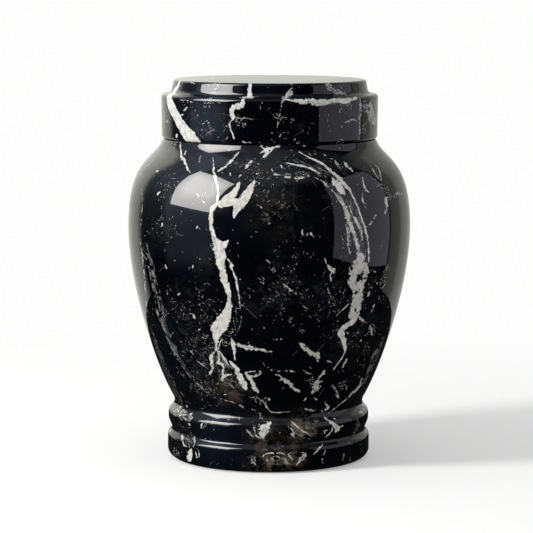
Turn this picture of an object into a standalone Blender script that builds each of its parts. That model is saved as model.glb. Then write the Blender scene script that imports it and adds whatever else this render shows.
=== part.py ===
"""Cremation urn turned from black marble: a hollow body with two foot rings, and a lift-off lid.

Sizes are in metres. Z is up, and the urn stands on z = 0 with its axis on the Z axis.
"""
import math

import bmesh
import bpy

# Foot: a base ring, a groove and a foot ring, each ring with a bevel above it
BASE_RADIUS = 0.0680
BASE_HEIGHT = 0.0152
BASE_BEVEL = 0.0044
BASE_EDGE = 0.0040
BASE_ROUNDING = 0.0062
GROOVE_RADIUS = 0.0648
GROOVE_ROUNDING = 0.0030
RING_RADIUS = 0.0675
RING_HEIGHT = 0.0115
RING_BEVEL = 0.0069
RING_EDGE = 0.0045
RING_TUCK = 0.0050
RING_SWELL = 0.0080

# Body: it swells from the ankle to the belly and draws in to the neck
ANKLE_RADIUS = 0.0622
ANKLE_ROUNDING = 0.0060
BELLY_RADIUS = 0.0945
BELLY_RISE = 0.1182
NECK_RADIUS = 0.0710
NECK_RISE = 0.0585
RIM_EDGE = 0.0007

# Shape of the two outer curves: how far each pulls along its end directions, as a share of its own span
ANKLE_PULL_OUT = 0.26
ANKLE_PULL_UP = 0.095
BELLY_PULL_DOWN = 0.394
BELLY_PULL_UP = 0.795
NECK_PULL_OUT = 0.19
NECK_PULL_DOWN = 0.237

# Hollow: a round mouth that opens into a cavity
WALL = 0.0105
FLOOR = 0.0145
FLOOR_ROUNDING = 0.0100
RIM_WIDTH = 0.0160
MOUTH_DEPTH = 0.0160
MOUTH_EDGE = 0.0010
CAVITY_PULL_OUT = 0.70
CAVITY_PULL_UP = 0.60

# Lid: a rim as wide as the neck, a ledge, a cove and a raised crown, with a plug under it
SEAT_GAP = 0.0003
PLUG_CLEARANCE = 0.0010
PLUG_DEPTH = 0.0080
PLUG_EDGE = 0.0010
LID_OVERHANG = 0.0014
LID_TAPER = 0.0004
LID_HEIGHT = 0.0296
LID_EDGE = 0.0026
LID_BOTTOM_EDGE = 0.0021
LEDGE_WIDTH = 0.0082
LEDGE_RISE = 0.0005
CROWN_HEIGHT = 0.0089
CROWN_TAPER = 0.0016
COVE = 0.0036
CROWN_EDGE = 0.0020

# Facets
SEGMENTS = 56
BELLY_STEPS = 9
CAVITY_STEPS = 4
ARC_STEP = math.radians(24)
WELD = 0.00001
SHARP_ANGLE = math.radians(38)

# Finish of the polished stone
MARBLE_COLOUR = (0.006, 0.006, 0.009, 1.0)
MARBLE_ROUGHNESS = 0.06

# Heights that the sizes above stack up to
GROOVE_Z = BASE_HEIGHT + BASE_BEVEL
RING_Z = GROOVE_Z + RING_HEIGHT
ANKLE_Z = RING_Z + RING_BEVEL
BELLY_Z = ANKLE_Z + BELLY_RISE
RIM_Z = BELLY_Z + NECK_RISE
MOUTH_RADIUS = NECK_RADIUS - RIM_WIDTH
CAVITY_TOP_Z = RIM_Z - MOUTH_DEPTH


def clear_scene():
    for item in list(bpy.data.objects):
        bpy.data.objects.remove(item)


def curve(start, start_pull, end_pull, end, steps):
    """Points between the ends of a cubic curve, each a (radius, height, no rounding) corner."""
    points = []
    for step in range(1, steps):
        t = step / steps
        weights = ((1 - t) ** 3, 3 * (1 - t) ** 2 * t, 3 * (1 - t) * t ** 2, t ** 3)
        handles = (start, start_pull, end_pull, end)
        radius = sum(weight * handle[0] for weight, handle in zip(weights, handles))
        height = sum(weight * handle[1] for weight, handle in zip(weights, handles))
        points.append((radius, height, 0.0))
    return points


def share(neighbour):
    """How much of a side an arc may take: half of it where the next corner is rounded too."""
    return 0.5 if neighbour[2] > 0.0 else 0.9


def corner_arc(before, corner, after):
    """The points of an arc that touches both sides of one corner."""
    radius, height, rounding = corner
    side_in = (before[0] - radius, before[1] - height)
    side_out = (after[0] - radius, after[1] - height)
    length_in = math.hypot(*side_in)
    length_out = math.hypot(*side_out)
    unit_in = (side_in[0] / length_in, side_in[1] / length_in)
    unit_out = (side_out[0] / length_out, side_out[1] / length_out)
    between = math.acos(max(-1.0, min(1.0, unit_in[0] * unit_out[0] + unit_in[1] * unit_out[1])))
    turn = math.pi - between
    if rounding == 0.0 or turn < ARC_STEP / 2:
        return [(radius, height)]
    reach = min(rounding * math.tan(turn / 2), length_in * share(before), length_out * share(after))
    arc_radius = reach / math.tan(turn / 2)
    middle = (unit_in[0] + unit_out[0], unit_in[1] + unit_out[1])
    to_centre = arc_radius / math.cos(turn / 2) / math.hypot(*middle)
    centre = (radius + middle[0] * to_centre, height + middle[1] * to_centre)
    start = (radius + unit_in[0] * reach - centre[0], height + unit_in[1] * reach - centre[1])
    direction = math.copysign(1.0, unit_in[1] * unit_out[0] - unit_in[0] * unit_out[1])
    steps = max(2, math.ceil(turn / ARC_STEP))
    points = []
    for step in range(steps + 1):
        angle = direction * turn * step / steps
        points.append((centre[0] + start[0] * math.cos(angle) - start[1] * math.sin(angle),
                       centre[1] + start[0] * math.sin(angle) + start[1] * math.cos(angle)))
    return points


def rounded(corners):
    """A profile of (radius, height) points from (radius, height, rounding) corners."""
    points = [corners[0][:2]]
    for before, corner, after in zip(corners, corners[1:], corners[2:]):
        points += corner_arc(before, corner, after)
    points.append(corners[-1][:2])
    return points


def marble(name):
    material = bpy.data.materials.new(name)
    material.use_nodes = True
    shader = material.node_tree.nodes["Principled BSDF"]
    shader.inputs["Base Color"].default_value = MARBLE_COLOUR
    shader.inputs["Roughness"].default_value = MARBLE_ROUGHNESS
    shader.inputs["Metallic"].default_value = 0.0
    return material


def turned(name, profile):
    """One closed solid, spun about the vertical axis from a profile that starts and ends on it."""
    form = bmesh.new()
    points = [form.verts.new((radius, 0.0, height)) for radius, height in profile]
    edges = [form.edges.new(pair) for pair in zip(points, points[1:])]
    bmesh.ops.spin(form, geom=points + edges, cent=(0, 0, 0), axis=(0, 0, 1),
                   angle=2 * math.pi, steps=SEGMENTS, use_merge=True)
    bmesh.ops.remove_doubles(form, verts=form.verts, dist=WELD)
    bmesh.ops.recalc_face_normals(form, faces=form.faces)
    mesh = bpy.data.meshes.new(name)
    form.to_mesh(mesh)
    form.free()
    mesh.shade_smooth()
    mesh.set_sharp_from_angle(angle=SHARP_ANGLE)
    mesh.materials.append(marble(name + "_marble"))
    solid = bpy.data.objects.new(name, mesh)
    bpy.context.collection.objects.link(solid)
    return solid


def cavity_corners():
    """Up from the middle of the cavity's floor to the inner edge of the rim."""
    floor_radius = ANKLE_RADIUS - WALL
    inner_belly = BELLY_RADIUS - WALL
    swell = inner_belly - floor_radius
    inset = inner_belly - MOUTH_RADIUS
    upper_rise = CAVITY_TOP_Z - BELLY_Z
    corners = [(0.0, FLOOR, 0.0), (floor_radius, FLOOR, FLOOR_ROUNDING), (floor_radius, ANKLE_Z, 0.0)]
    corners += curve((floor_radius, ANKLE_Z),
                     (floor_radius + ANKLE_PULL_OUT * swell, ANKLE_Z + ANKLE_PULL_UP * BELLY_RISE),
                     (inner_belly, BELLY_Z - BELLY_PULL_DOWN * BELLY_RISE),
                     (inner_belly, BELLY_Z), CAVITY_STEPS)
    corners.append((inner_belly, BELLY_Z, 0.0))
    corners += curve((inner_belly, BELLY_Z),
                     (inner_belly, BELLY_Z + CAVITY_PULL_UP * upper_rise),
                     (MOUTH_RADIUS + CAVITY_PULL_OUT * inset, CAVITY_TOP_Z),
                     (MOUTH_RADIUS, CAVITY_TOP_Z), CAVITY_STEPS)
    corners.append((MOUTH_RADIUS, CAVITY_TOP_Z, 0.0))
    corners.append((MOUTH_RADIUS, RIM_Z, MOUTH_EDGE))
    return corners


def outer_corners():
    """Down from the outer edge of the rim to the middle of the underside."""
    swell = BELLY_RADIUS - ANKLE_RADIUS
    inset = BELLY_RADIUS - NECK_RADIUS
    corners = [(NECK_RADIUS, RIM_Z, RIM_EDGE)]
    corners += curve((NECK_RADIUS, RIM_Z),
                     (NECK_RADIUS + NECK_PULL_OUT * inset, RIM_Z - NECK_PULL_DOWN * NECK_RISE),
                     (BELLY_RADIUS, BELLY_Z + BELLY_PULL_UP * NECK_RISE),
                     (BELLY_RADIUS, BELLY_Z), BELLY_STEPS)
    corners.append((BELLY_RADIUS, BELLY_Z, 0.0))
    corners += curve((BELLY_RADIUS, BELLY_Z),
                     (BELLY_RADIUS, BELLY_Z - BELLY_PULL_DOWN * BELLY_RISE),
                     (ANKLE_RADIUS + ANKLE_PULL_OUT * swell, ANKLE_Z + ANKLE_PULL_UP * BELLY_RISE),
                     (ANKLE_RADIUS, ANKLE_Z), BELLY_STEPS)
    corners += [
        (ANKLE_RADIUS, ANKLE_Z, ANKLE_ROUNDING),
        (RING_RADIUS, RING_Z, RING_EDGE),
        (RING_RADIUS, RING_Z - RING_TUCK, RING_SWELL),
        (GROOVE_RADIUS, GROOVE_Z, GROOVE_ROUNDING),
        (BASE_RADIUS, BASE_HEIGHT, BASE_EDGE),
        (BASE_RADIUS, 0.0, BASE_ROUNDING),
        (0.0, 0.0, 0.0),
    ]
    return corners


def lid_corners():
    """Down from the middle of the lid's top to the middle of its plug."""
    seat_z = RIM_Z + SEAT_GAP
    ledge_z = seat_z + LID_HEIGHT
    cove_z = ledge_z + LEDGE_RISE
    top_z = cove_z + CROWN_HEIGHT
    lid_radius = NECK_RADIUS + LID_OVERHANG
    crown_radius = lid_radius - LEDGE_WIDTH
    plug_radius = MOUTH_RADIUS - PLUG_CLEARANCE
    return [
        (0.0, top_z, 0.0),
        (crown_radius, top_z, CROWN_EDGE),
        (crown_radius + CROWN_TAPER, cove_z, COVE),
        (lid_radius, ledge_z, LID_EDGE),
        (lid_radius - LID_TAPER, seat_z, LID_BOTTOM_EDGE),
        (plug_radius, seat_z, 0.0),
        (plug_radius, seat_z - PLUG_DEPTH, PLUG_EDGE),
        (0.0, seat_z - PLUG_DEPTH, 0.0),
    ]


clear_scene()
turned("urn_body", rounded(cavity_corners() + outer_corners()))
turned("lid", rounded(lid_corners()))
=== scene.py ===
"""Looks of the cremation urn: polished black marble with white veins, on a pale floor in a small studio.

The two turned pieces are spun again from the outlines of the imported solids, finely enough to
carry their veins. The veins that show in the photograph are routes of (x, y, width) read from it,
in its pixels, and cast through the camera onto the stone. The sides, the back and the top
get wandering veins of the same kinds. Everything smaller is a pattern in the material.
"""

import math
import random

import bpy
import numpy as np
from mathutils import Matrix, Vector
from mathutils.bvhtree import BVHTree


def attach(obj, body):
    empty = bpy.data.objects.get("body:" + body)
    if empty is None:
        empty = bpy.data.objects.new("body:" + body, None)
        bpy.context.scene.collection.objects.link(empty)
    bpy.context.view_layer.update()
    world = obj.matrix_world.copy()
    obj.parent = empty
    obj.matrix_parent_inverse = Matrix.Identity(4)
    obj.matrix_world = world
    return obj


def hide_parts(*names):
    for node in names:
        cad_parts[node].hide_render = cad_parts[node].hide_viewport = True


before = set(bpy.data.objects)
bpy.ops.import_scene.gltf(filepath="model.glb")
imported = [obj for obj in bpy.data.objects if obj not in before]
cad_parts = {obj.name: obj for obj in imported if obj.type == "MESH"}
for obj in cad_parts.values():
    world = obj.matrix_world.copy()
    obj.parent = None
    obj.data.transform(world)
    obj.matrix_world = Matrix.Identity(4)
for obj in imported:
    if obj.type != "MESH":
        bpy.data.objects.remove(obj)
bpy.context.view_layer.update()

MM = 0.001

# The photograph and its camera
PHOTO_PX = 533
PHOTO_MIDDLE = PHOTO_PX / 2
FOCAL_PX = 2518.4
SENSOR_MM = 36.0
CAMERA_PLACE = Vector((0.0, -1.6818, 0.3302))
CAMERA_PITCH = 0.1196
CAMERA_YAW = -0.0010
CAMERA_ROLL = 0.0036
AXIS_PX = 269.8

# Meshes of the two turned pieces
COLUMNS = 328
OUTER_STEP = 1.9 * MM
HIDDEN_STEP = 9.0 * MM
ARC_STEP = math.radians(3.5)
SIDE_LENGTH = 1.5
SHARP_TURN = math.radians(40)
HIDDEN_SHARE = 0.15
TOUCH = 0.001 * MM
BODY_SHOWN = (20, 62)
LID_SHOWN = (0, 20)
BODY_MIDDLE_PX = (AXIS_PX, 290.0)
LID_MIDDLE_PX = (AXIS_PX, 118.0)

# Veins on the mesh, in millimetres
ROUTE_STEP_PX = 1.5
ROUTE_STEP_MM = 1.0
REACH = 9.0
KEEP_APART = 3.0
BEVELS = [(29.0, 40.5, 0.44), (13.5, 21.5, 0.34)]
FAR = 60.0

MM_PER_PX = 0.64
INNERMOST = 55 * MM
WIDEST_SLANT = 2.5
SOFT_PX = 0.5
UNSEEN = (82.0, 278.0)
SHORTEST = 5
CLOUD_COUNT = 26
EDGE_SOFT = 0.16
GRAIN_ACROSS = 1.1
GRAIN_ALONG = 7.0

# Clouds of the stone in the photograph: x, y, radius, channel and strength.
# The channels are 0 flecks, 1 breccia, 2 brown and 3 slate.
BODY_CLOUDS = [
    (190, 310, 26, 0, 0.9), (200, 350, 26, 0, 1.0), (205, 385, 22, 0, 1.0), (265, 300, 26, 0, 0.6), (285, 270, 20, 0, 0.5),
    (300, 290, 22, 0, 0.5), (340, 300, 24, 0, 0.9), (345, 340, 22, 0, 0.8), (372, 280, 18, 0, 0.9), (375, 310, 18, 0, 0.8),
    (365, 350, 18, 0, 0.8), (165, 190, 16, 0, 0.9), (160, 230, 18, 0, 0.6), (270, 190, 22, 0, 0.7), (250, 165, 22, 0, 0.8),
    (350, 170, 18, 0, 0.8), (300, 240, 20, 0, 0.5), (230, 320, 18, 0, 0.7), (330, 200, 16, 0, 0.7), (180, 425, 16, 0, 1.0),
    (200, 350, 20, 1, 0.35), (215, 385, 16, 1, 0.7), (275, 205, 14, 1, 0.75), (292, 170, 12, 1, 0.8), (345, 250, 12, 1, 0.5),
    (376, 172, 8, 1, 0.6), (262, 430, 12, 1, 0.8), (305, 428, 12, 1, 0.6), (272, 460, 18, 1, 0.6), (186, 440, 10, 1, 0.6),
    (232, 392, 15, 2, 0.5), (302, 430, 13, 2, 1.3), (262, 432, 12, 2, 0.6), (275, 208, 22, 2, 0.16),
    (205, 262, 16, 2, 0.08), (270, 459, 16, 2, 0.9), (293, 460, 12, 2, 0.6), (260, 166, 24, 2, 0.1),
    (236, 215, 24, 3, 0.1), (180, 200, 24, 3, 0.12), (200, 250, 24, 3, 0.2), (215, 440, 30, 3, 0.35),
]
LID_CLOUDS = [
    (205, 120, 22, 3, 0.8), (202, 118, 20, 0, 1.1), (225, 130, 16, 0, 0.5), (330, 120, 16, 0, 0.3), (370, 112, 8, 1, 0.7),
    (332, 90, 8, 1, 0.7), (305, 133, 12, 0, 0.6), (345, 102, 14, 1, 0.5),
]

# Colours of the stone
BLACK = (0.0004, 0.0008, 0.0017, 1.0)
SLATE = (0.0100, 0.0150, 0.0230, 1.0)
SMOKE = (0.0330, 0.0330, 0.0340, 1.0)
BROWN = (0.1000, 0.0780, 0.0520, 1.0)
CHALK = (0.63, 0.625, 0.605, 1.0)
CHALK_DARK = (0.42, 0.41, 0.39, 1.0)
CREAM = (0.61, 0.585, 0.53, 1.0)

# Light levels
FILL = 0.70
KEY_WATTS = 36.0
SOFTBOX_GLOW = 15.5
SOFTBOX_RIM_GLOW = 10.5
SOFTBOX_COLOUR = (1.0, 0.99, 0.97, 1.0)
CARD_GLOW = 0.64
WARM = (1.0, 1.0, 0.93)
COOL = (0.88, 0.97, 1.12)
CARD_COLOUR = (1.0, 0.96, 1.09)
PALE = (0.985, 0.985, 0.98, 1.0)
FLOOR = 30.0
FLOOR_COLOUR = (0.65, 0.65, 0.645, 1.0)
FLOOR_GLOW = 0.262

# Studio, by direction from the urn in degrees: azimuth 0 is towards the camera, 90 to its right
SOFTBOX_AZIMUTH = -63.5
SOFTBOX_DISTANCE = 3.0
SOFTBOX_CORNERS = [(-88.0, 0.70), (-47.0, 0.61), (-92.5, 4.50), (-35.5, 3.45)]
CARD_EDGES = [(52.1, 1.614), (112.0, 1.574)]
CARD_BOTTOM = -0.24
CARD_TOP = 1.41
TABLE_RADIUS = 0.40
TABLE_SIDES = 72
TABLE_GLOW = 0.015
BACKDROP_START = 108.5
BACKDROP_TURN = 136.5
BACKDROP_PIECES = 58
BACKDROP_DISTANCE = 0.75
BACKDROP_BOTTOM = -0.6
BACKDROP_TOP = 1.15
BACKDROP_EYE = 0.15
EVERYWHERE = (-400, -399), (399, 400)
KEY_AZIMUTH = -66.5
KEY_ELEVATION = 33.0
KEY_DISTANCE = 2.0
KEY_SIZE = 0.38


# Camera and floor

def camera_axes():
    """The camera's right, up and forward directions."""
    pitch, yaw, roll = CAMERA_PITCH, CAMERA_YAW, CAMERA_ROLL
    forward = Vector((math.sin(yaw) * math.cos(pitch), math.cos(yaw) * math.cos(pitch), -math.sin(pitch)))
    level = Vector((math.cos(yaw), -math.sin(yaw), 0.0))
    upright = level.cross(forward)
    right = level * math.cos(roll) + upright * math.sin(roll)
    up = upright * math.cos(roll) - level * math.sin(roll)
    return right, up, forward


def photo_ray(x, y):
    """The direction in which the camera sees a pixel of the photograph."""
    right, up, forward = camera_axes()
    return (forward * FOCAL_PX + right * (x - PHOTO_MIDDLE) - up * (y - PHOTO_MIDDLE)).normalized()


def add_camera():
    data = bpy.data.cameras.new("camera")
    data.sensor_width = SENSOR_MM
    data.lens = SENSOR_MM * FOCAL_PX / PHOTO_PX
    data.clip_start = 0.05
    camera = bpy.data.objects.new("camera", data)
    right, up, forward = camera_axes()
    turned = Matrix((right, up, -forward)).transposed().to_4x4()
    camera.matrix_world = Matrix.Translation(CAMERA_PLACE) @ turned
    bpy.context.collection.objects.link(camera)
    bpy.context.scene.camera = camera


# Shader trees

class Tree:
    """Adds nodes to one shader tree and links them."""

    def __init__(self, tree):
        self.tree = tree
        tree.nodes.clear()

    def feed(self, socket, value):
        if isinstance(value, bpy.types.NodeSocket):
            self.tree.links.new(value, socket)
        else:
            socket.default_value = value

    def node(self, kind, inputs=None, **settings):
        made = self.tree.nodes.new(kind)
        for name, value in settings.items():
            setattr(made, name, value)
        for name, value in (inputs or {}).items():
            self.feed(made.inputs[name], value)
        return made

    def math(self, operation, *values, clamp=False):
        made = self.tree.nodes.new("ShaderNodeMath")
        made.operation = operation
        made.use_clamp = clamp
        for socket, value in zip(made.inputs, values):
            self.feed(socket, value)
        return made.outputs[0]

    def vector(self, operation, first, second):
        made = self.tree.nodes.new("ShaderNodeVectorMath")
        made.operation = operation
        self.feed(made.inputs[0], first)
        self.feed(made.inputs["Scale"] if operation == "SCALE" else made.inputs[1], second)
        return made.outputs[0]

    def rise(self, value, low, high):
        """0 below low, 1 above high, smooth between; with low over high it falls instead."""
        made = self.node("ShaderNodeMapRange", {"Value": value, "From Min": low, "From Max": high},
                         interpolation_type="SMOOTHSTEP")
        return made.outputs["Result"]

    def spread(self, value, low, high, to_low, to_high):
        made = self.node("ShaderNodeMapRange", {"Value": value, "From Min": low, "From Max": high,
                                                "To Min": to_low, "To Max": to_high})
        return made.outputs["Result"]

    def blend(self, factor, first, second):
        made = self.tree.nodes.new("ShaderNodeMix")
        made.data_type = "RGBA"
        colours = [socket for socket in made.inputs if socket.type == "RGBA"]
        self.feed(made.inputs["Factor"], factor)
        self.feed(colours[0], first)
        self.feed(colours[1], second)
        return [socket for socket in made.outputs if socket.type == "RGBA"][0]

    def noise(self, place, size_mm, detail=2.0, roughness=0.5, output="Fac"):
        """Noise whose lumps are about size_mm across."""
        made = self.node("ShaderNodeTexNoise", {"Vector": place, "Scale": 1 / (size_mm * MM),
                                                "Detail": detail, "Roughness": roughness})
        return made.outputs[output]


# Turned meshes

def outline(node):
    """The (radius, height) corners that a turned solid was spun from, from its highest end to its lowest."""
    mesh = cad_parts[node].data
    flat = {}
    for vertex in mesh.vertices:
        if abs(vertex.co.y) < TOUCH and vertex.co.x > -TOUCH:
            flat[vertex.index] = (round(vertex.co.x, 6), round(vertex.co.z, 6))
    beside = {}
    for edge in mesh.edges:
        ends = [flat.get(index) for index in edge.vertices]
        if None not in ends and ends[0] != ends[1]:
            beside.setdefault(ends[0], set()).add(ends[1])
            beside.setdefault(ends[1], set()).add(ends[0])
    chain = [max((corner for corner in beside if len(beside[corner]) == 1), key=lambda corner: corner[1])]
    before = None
    while onward := [corner for corner in beside[chain[-1]] if corner != before]:
        before = chain[-1]
        chain.append(onward[0])
    return [Vector((0.0, chain[0][1]))] + [Vector(corner) for corner in chain] + [Vector((0.0, chain[-1][1]))]


def ease_bevels(corners):
    """Leans the middle of each foot ring's bevel a little further back, as its reflections show."""
    for corner in corners:
        for low, high, lean in BEVELS:
            if low * MM < corner.y < high * MM and corner.x > INNERMOST:
                corner.y -= lean * MM * math.sin(2 * math.pi * (high * MM - corner.y) / ((high - low) * MM))
    return corners


def smooth_outline(corners, shown):
    """Points of a smooth curve through the corners, each with whether it shows.

    The points are close together between heights that show, and far apart elsewhere.
    """
    slopes = [None]
    for before, corner, after in zip(corners, corners[1:], corners[2:]):
        arriving, leaving = corner - before, after - corner
        if arriving.angle(leaving) > SHARP_TURN:
            slopes.append(None)
        elif arriving.length > SIDE_LENGTH * leaving.length:
            slopes.append(arriving.normalized())
        elif leaving.length > SIDE_LENGTH * arriving.length:
            slopes.append(leaving.normalized())
        else:
            slopes.append((after - before).normalized())
    slopes.append(None)
    widest = max(corner.x for corner in corners)
    lowest, highest = min(corner.y for corner in corners), max(corner.y for corner in corners)
    points = [(corners[0], False)]
    for index, (start, end) in enumerate(zip(corners, corners[1:])):
        span = end - start
        leave = slopes[index] or span.normalized()
        arrive = slopes[index + 1] or span.normalized()
        shows = shown[0] <= index < shown[1]
        pieces = math.ceil(span.length / (OUTER_STEP if shows else HIDDEN_STEP))
        turn = leave.angle(span) + span.angle(arrive)
        pieces = max(pieces, math.ceil(turn / (ARC_STEP if shows else SHARP_TURN / 2)))
        for piece in range(1, pieces + 1):
            t = piece / pieces
            place = (start * (2 * t ** 3 - 3 * t ** 2 + 1) + leave * span.length * (t ** 3 - 2 * t ** 2 + t)
                     + end * (3 * t ** 2 - 2 * t ** 3) + arrive * span.length * (t ** 3 - t ** 2))
            inside = Vector((min(max(place.x, 0.0), widest), min(max(place.y, lowest), highest)))
            points.append((inside, shows))
    return points


def spin(name, points):
    """A closed mesh spun from an outline that starts and ends on the axis, mapped round and along it."""
    rings = [place for place, _ in points[1:-1]]
    angles = [2 * math.pi * column / COLUMNS for column in range(COLUMNS)]
    places = [(0.0, 0.0, points[0][0].y)]
    for ring in rings:
        places += [(ring.x * math.cos(angle), ring.x * math.sin(angle), ring.y) for angle in angles]
    places.append((0.0, 0.0, points[-1][0].y))
    rows = [0.0]
    for (start, _), (end, shows) in zip(points, points[1:]):
        rows.append(rows[-1] + (end - start).length * (1.0 if shows else HIDDEN_SHARE))
    rows = [row / rows[-1] for row in rows]
    bottom = len(places) - 1
    last = 1 + (len(rings) - 1) * COLUMNS
    faces, maps = [], []
    for column in range(COLUMNS):
        beside = (column + 1) % COLUMNS
        left, right = column / COLUMNS, (column + 1) / COLUMNS
        middle = (left + right) / 2
        faces.append((0, 1 + column, 1 + beside))
        maps += [(middle, rows[0]), (left, rows[1]), (right, rows[1])]
        for ring in range(len(rings) - 1):
            upper, lower = 1 + ring * COLUMNS, 1 + (ring + 1) * COLUMNS
            faces.append((upper + column, lower + column, lower + beside, upper + beside))
            maps += [(left, rows[ring + 1]), (left, rows[ring + 2]), (right, rows[ring + 2]), (right, rows[ring + 1])]
        faces.append((last + column, bottom, last + beside))
        maps += [(left, rows[-2]), (middle, rows[-1]), (right, rows[-2])]
    mesh = bpy.data.meshes.new(name)
    mesh.from_pydata(places, [], faces)
    mesh.uv_layers.new(name="OFBake").data.foreach_set("uv", np.array(maps).ravel())
    mesh.shade_smooth()
    mesh.set_sharp_from_angle(angle=SHARP_TURN)
    piece = bpy.data.objects.new(name, mesh)
    bpy.context.collection.objects.link(piece)
    return piece


class Surface:
    """A turned piece that can be hit by rays and given veins."""

    def __init__(self, piece, middle_px):
        mesh = piece.data
        self.middle_px = middle_px
        self.piece = piece
        self.places = np.empty(len(mesh.vertices) * 3)
        mesh.vertices.foreach_get("co", self.places)
        self.places = self.places.reshape(-1, 3) / MM
        self.hits = BVHTree.FromPolygons([vertex.co for vertex in mesh.vertices],
                                         [tuple(face.vertices) for face in mesh.polygons])
        self.layers = []
        self.count = 0
        self.clouds = np.zeros((len(mesh.vertices), 4))

    def seen(self, x, y):
        """The point and normal under a pixel of the photograph, or the nearest on the way to the middle."""
        aim = Vector((x, y))
        step = (Vector(self.middle_px) - aim).normalized() / 2
        while True:
            place, normal, _, _ = self.hits.ray_cast(CAMERA_PLACE, photo_ray(*aim))
            if place and place.xy.length > INNERMOST:
                return place / MM, normal
            aim += step

    def around(self, azimuth, height):
        """The outermost point and its normal at an azimuth in degrees and a height in millimetres."""
        angle = math.radians(azimuth)
        outward = Vector((math.sin(angle), -math.cos(angle), 0.0))
        place, normal, _, _ = self.hits.ray_cast(outward + Vector((0, 0, height * MM)), -outward)
        return place / MM, normal

    def add_vein(self, route, strength):
        """Stores a route's distances in the first layer where no other vein comes near.

        A route is a list of (point, normal, half-width), in millimetres. Each layer keeps, for
        every vertex, the signed distance across the nearest vein, the distance from it, the vein's
        half-width there, which falls away beyond its ends, and its strength.
        """
        points = np.array([point for point, _, _ in route])
        normals = np.array([normal for _, normal, _ in route])
        halves = np.array([half for _, _, half in route])
        along = np.gradient(points, axis=0)
        along /= np.linalg.norm(along, axis=1)[:, None]
        across = np.cross(normals, along)
        across /= np.linalg.norm(across, axis=1)[:, None]
        reach = REACH + halves.max()
        near = np.nonzero(((self.places > points.min(0) - reach)
                           & (self.places < points.max(0) + reach)).all(1))[0]
        offsets = self.places[near, None, :] - points[None, :, :]
        distances = np.linalg.norm(offsets, axis=2)
        nearest = distances.argmin(1)
        rows = np.arange(len(near))
        away = distances[rows, nearest]
        offset = offsets[rows, nearest]
        signed = (offset * across[nearest]).sum(1)
        onward = (offset * along[nearest]).sum(1)
        beyond = np.where(nearest == 0, np.maximum(-onward, 0), 0)
        beyond += np.where(nearest == len(points) - 1, np.maximum(onward, 0), 0)
        half = halves[nearest] - beyond
        values = np.stack([signed, away, half, np.full(len(near), strength)], 1)
        close = away < reach
        near, values = near[close], values[close]
        margin = values[:, 1] - values[:, 2]
        for layer in self.layers:
            taken = layer[near, 1] - layer[near, 2]
            if not ((taken < KEEP_APART) & (margin < KEEP_APART)).any():
                break
        else:
            layer = np.tile((FAR, FAR, 0.0, 0.0, 0.0), (len(self.places), 1))
            self.layers.append(layer)
            taken = layer[near, 1] - layer[near, 2]
        wins = margin < taken
        layer[near[wins], :4] = values[wins]
        length = np.concatenate(([0.0], np.cumsum(np.linalg.norm(np.diff(points, axis=0), axis=1))))
        layer[near[wins], 4] = (length[nearest] + onward + 97.0 * self.count)[close][wins]
        self.count += 1

    def add_cloud(self, point, radius, channel, strength):
        """Raises one of the four cloud channels around a point."""
        distance = np.linalg.norm(self.places - np.array(point), axis=1)
        self.clouds[:, channel] += strength * np.exp(-(distance / radius) ** 2)

    def store(self):
        """Writes the layers and clouds to the mesh, for the material to read. Returns how many layers."""
        tables = {f"veins_{index}": layer[:, :4] for index, layer in enumerate(self.layers)}
        tables["clouds"] = self.clouds
        for name, table in tables.items():
            made = self.piece.data.attributes.new(name, "FLOAT_COLOR", "POINT")
            made.data.foreach_set("color", table.ravel())
        for index, layer in enumerate(self.layers):
            made = self.piece.data.attributes.new(f"along_{index}", "FLOAT", "POINT")
            made.data.foreach_set("value", layer[:, 4].copy())
        return len(self.layers)


def through(points, step):
    """Points of a smooth curve through the given ones, about step apart in their first two numbers."""
    points = [np.array(point, float) for point in points]
    ends = [2 * points[0] - points[1]] + points + [2 * points[-1] - points[-2]]
    curve = []
    for before, start, end, after in zip(ends, ends[1:], ends[2:], ends[3:]):
        pieces = max(2, math.ceil(np.linalg.norm((end - start)[:2]) / step))
        for t in np.arange(pieces) / pieces:
            curve.append(0.5 * (2 * start + (end - before) * t
                                + (2 * before - 5 * start + 4 * end - after) * t ** 2
                                + (3 * start - before - 3 * end + after) * t ** 3))
    curve.append(points[-1])
    return curve


def photo_vein(surface, strength, *points):
    """A vein along (x, y, width) points of the photograph."""
    route = []
    flat = through(points, ROUTE_STEP_PX)
    for index, (x, y, width) in enumerate(flat):
        before, after = flat[max(index - 1, 0)], flat[min(index + 1, len(flat) - 1)]
        run = Vector((after[0] - before[0], after[1] - before[1])).normalized()
        side = Vector((-run.y, run.x)) * max(width, 0.3) / 2
        place, normal = surface.seen(x, y)
        one, _ = surface.seen(x + side.x, y + side.y)
        other, _ = surface.seen(x - side.x, y - side.y)
        half = min((one - other).length, WIDEST_SLANT * MM_PER_PX * width) / 2
        route.append((place, normal, half * max(width - SOFT_PX, width / 2) / width))
    surface.add_vein(route, strength)


# Veins of the body in the photograph, and along its outline a faint pale wash that is a painted reflection of the
# backdrop: strength, then (x, y, width) points

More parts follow.
